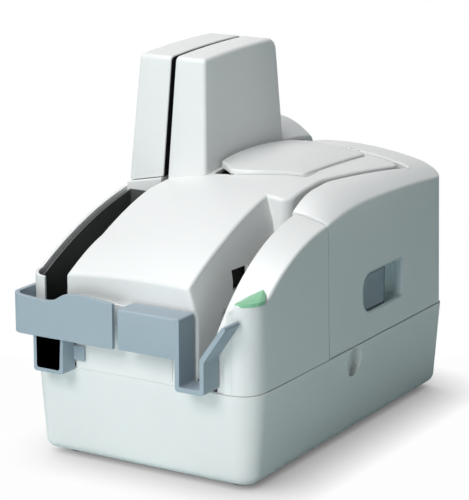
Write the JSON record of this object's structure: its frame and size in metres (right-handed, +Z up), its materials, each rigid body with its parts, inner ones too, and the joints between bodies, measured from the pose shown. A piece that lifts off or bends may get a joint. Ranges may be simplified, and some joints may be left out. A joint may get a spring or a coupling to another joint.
{
  "type": "cheque scanner",
  "caption": "Desktop cheque scanner with a sloping nose, side feed tray, swing-out transport cover, cartridge lid, split tower and exit pocket.",
  "frame": {"origin": "bottom centre of the whole machine, on the plane its feet stand on", "axes": "+Z up, +Y from the guides at the front to the sockets at the rear, +X to the side with the latch"},
  "size_m": [0.178, 0.2988, 0.2622],
  "materials": {
    "shell": "fine satin moulded surface",
    "guide_grey": "satin moulded surface",
    "liner_dark": "matt moulded surface",
    "inner_dark": "matt moulded surface",
    "lens_green": "glossy translucent plastic",
    "latch_grey": "satin moulded surface",
    "steel": "ground and bright",
    "rubber": "matt",
    "circuit_green": "lacquered board",
    "sensor_glass": "polished",
    "switch_black": "semi-gloss"
  },
  "bodies": {
    "base": {"board_standoffs": "steel", "cartridge_holder": "inner_dark", "centre_cover": "shell", "chassis_screws": "steel", "data_socket": "switch_black", "drive_belt": "rubber", "exit_guide_frame": "guide_grey", "feed_motor": "steel", "feet": "rubber", "flipper_pin": "steel", "front_guide": "guide_grey", "front_housing": "shell", "front_panel": "shell", "gate_hinge_pin": "steel", "ink_cartridge": "inner_dark", "inner_image_sensor": "inner_dark", "inner_path_guide": "inner_dark", "inner_sensor_glass": "sensor_glass", "left_cover": "shell", "left_path_guide": "inner_dark", "left_pinch_pin": "steel", "lid_hinge_pin": "steel", "lower_casing": "shell", "magnetic_head": "steel", "main_board": "circuit_green", "main_chassis": "inner_dark", "main_motor": "steel", "path_floor": "inner_dark", "pocket_liner": "liner_dark", "power_inlet": "switch_black", "rear_left_cover": "shell", "roller_bridge": "inner_dark", "shaft_bushes": "steel", "status_lens": "lens_green", "switch_frame": "switch_black", "tower_hinge_pin": "steel", "tower_inner_cover": "shell", "transport_hinge_pins": "steel"},
    "transport_door": {"transport_cover": "shell", "outer_path_guide": "inner_dark", "door_pins": "steel", "outer_image_sensor": "inner_dark", "outer_sensor_glass": "sensor_glass"},
    "latch": {"latch_pad": "latch_grey"},
    "right_pinch": {"right_pinch_rollers": "rubber"},
    "left_pinch": {"left_pinch_rollers": "rubber"},
    "right_drive": {"right_drive_shaft": "steel", "right_drive_rollers": "rubber", "right_pulley": "switch_black"},
    "left_drive": {"left_drive_shaft": "steel", "left_drive_rollers": "rubber", "left_pulley": "switch_black"},
    "motor_shaft": {"motor_pulley": "switch_black"},
    "pick": {"pick_shaft": "steel", "pick_rollers": "rubber"},
    "tower_door": {"tower_outer_cover": "shell"},
    "lid": {"cartridge_lid": "shell"},
    "gate": {"stop_gate": "guide_grey"},
    "flipper": {"feed_flipper": "inner_dark"},
    "rocker": {"power_rocker": "switch_black"}
  },
  "joints": [
    {"name": "transport_door_hinge", "type": "hinge", "parent": "base", "child": "transport_door", "pos_m": [-0.01975, 0.14655, 0.106], "axis": [0, 0, 1], "range_deg": [0, 75]},
    {"name": "latch_hinge", "type": "hinge", "parent": "transport_door", "child": "latch", "pos_m": [0.08545, 0.02285, 0.1], "axis": [0, 0, -1], "range_deg": [0, 20], "stiffness_Nm_per_rad": 0.05},
    {"name": "right_pinch_spin", "type": "hinge", "parent": "transport_door", "child": "right_pinch", "pos_m": [0.06265, 0.03335, 0.113], "axis": [0, 0, 1], "continuous": true},
    {"name": "left_pinch_spin", "type": "hinge", "parent": "base", "child": "left_pinch", "pos_m": [-0.05875, 0.03335, 0.113], "axis": [0, 0, 1], "continuous": true},
    {"name": "right_drive_spin", "type": "hinge", "parent": "base", "child": "right_drive", "pos_m": [0.04675, 0.03335, 0.106], "axis": [0, 0, 1], "continuous": true},
    {"name": "left_drive_spin", "type": "hinge", "parent": "base", "child": "left_drive", "pos_m": [-0.04285, 0.03335, 0.106], "axis": [0, 0, 1], "continuous": true},
    {"name": "motor_spin", "type": "hinge", "parent": "base", "child": "motor_shaft", "pos_m": [0.00195, -0.03065, 0.066], "axis": [0, 0, 1], "continuous": true},
    {"name": "pick_spin", "type": "hinge", "parent": "base", "child": "pick", "pos_m": [0.07245, -0.06865, 0.101], "axis": [0, 0, 1], "continuous": true},
    {"name": "tower_door_hinge", "type": "hinge", "parent": "base", "child": "tower_door", "pos_m": [-0.07655, 0.09135, 0.186], "axis": [0, 0, -1], "range_deg": [0, 25]},
    {"name": "lid_hinge", "type": "hinge", "parent": "base", "child": "lid", "pos_m": [0.0132, 0.10835, 0.18071], "axis": [-1, 0, 0], "range_deg": [0, 75]},
    {"name": "gate_hinge", "type": "hinge", "parent": "base", "child": "gate", "pos_m": [-0.08685, -0.11265, 0.104], "axis": [0, 0, -1], "range_deg": [0, 90]},
    {"name": "flipper_hinge", "type": "hinge", "parent": "base", "child": "flipper", "pos_m": [0.04735, -0.09465, 0.091], "axis": [0, 0, -1], "range_deg": [0, 12], "stiffness_Nm_per_rad": 0.01},
    {"name": "rocker_hinge", "type": "hinge", "parent": "base", "child": "rocker", "pos_m": [0.01845, 0.14438, 0.038], "axis": [1, 0, 0], "range_deg": [-6, 6]}
  ],
  "couplings": [
    {"joint": "left_drive_spin", "follows": "right_drive_spin", "ratio": 1},
    {"joint": "motor_spin", "follows": "right_drive_spin", "ratio": 1}
  ]
}
